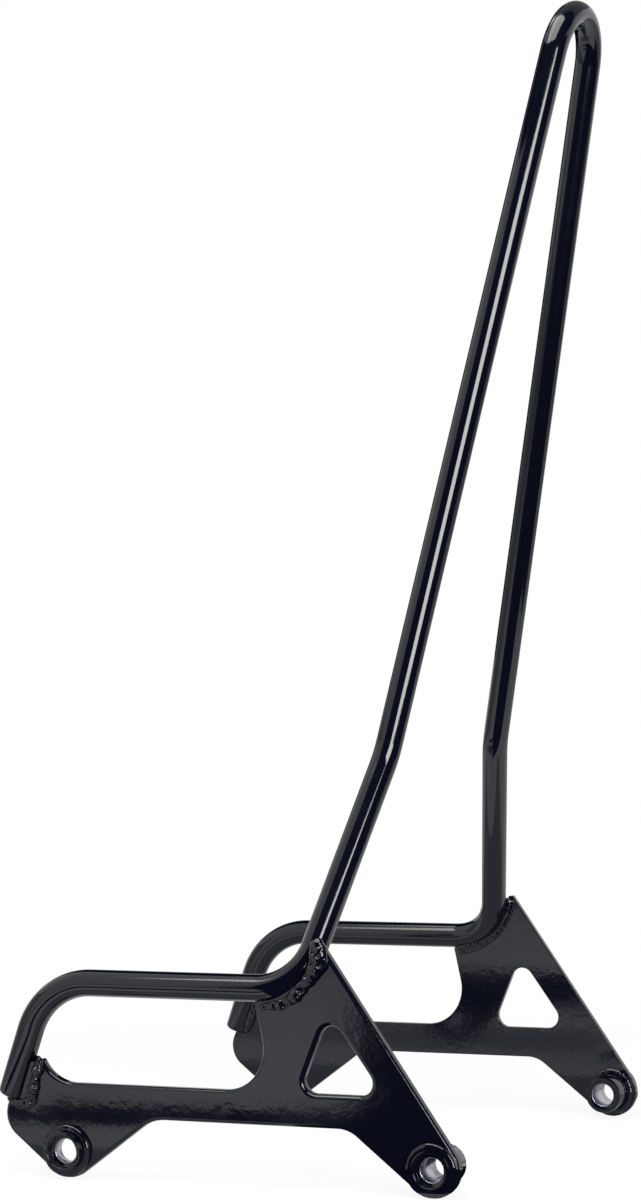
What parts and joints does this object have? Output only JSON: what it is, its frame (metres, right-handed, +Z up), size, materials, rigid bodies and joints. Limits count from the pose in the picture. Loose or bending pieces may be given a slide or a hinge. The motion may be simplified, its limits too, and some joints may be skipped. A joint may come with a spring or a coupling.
{
  "type": "sissy bar",
  "caption": "Tall black motorcycle back hoop of bent round bar, welded to flat side plates with bored bushings for the fender struts' bolts.",
  "frame": {"origin": "middle of the bounding box's base: halfway between the side plates, halfway along the length, at the height of the lobes' lowest points", "axes": "+Z up, +X towards the vehicle's rear, +Y towards the vehicle's right-hand side"},
  "size_m": [0.2697, 0.2734, 0.5653],
  "materials": {
    "black_coat": "gloss",
    "bushing_finish": "gloss"
  },
  "bodies": {
    "root": {"bent_bar": "black_coat", "side_plate_left": "black_coat", "side_plate_right": "black_coat", "front_bushing_left": "bushing_finish", "front_bushing_right": "bushing_finish", "rear_bushing_left": "bushing_finish", "rear_bushing_right": "bushing_finish", "front_bushing_weld_left": "black_coat", "front_bushing_weld_right": "black_coat", "rear_bushing_weld_left": "black_coat", "rear_bushing_weld_right": "black_coat", "rear_bushing_inner_weld_left": "black_coat", "rear_bushing_inner_weld_right": "black_coat", "front_leg_weld_left": "black_coat", "front_leg_weld_right": "black_coat", "front_leg_inner_weld_left": "black_coat", "front_leg_inner_weld_right": "black_coat", "rear_bend_weld_left": "black_coat", "rear_bend_weld_right": "black_coat", "rear_bend_inner_weld_left": "black_coat", "rear_bend_inner_weld_right": "black_coat"}
  },
  "joints": []
}
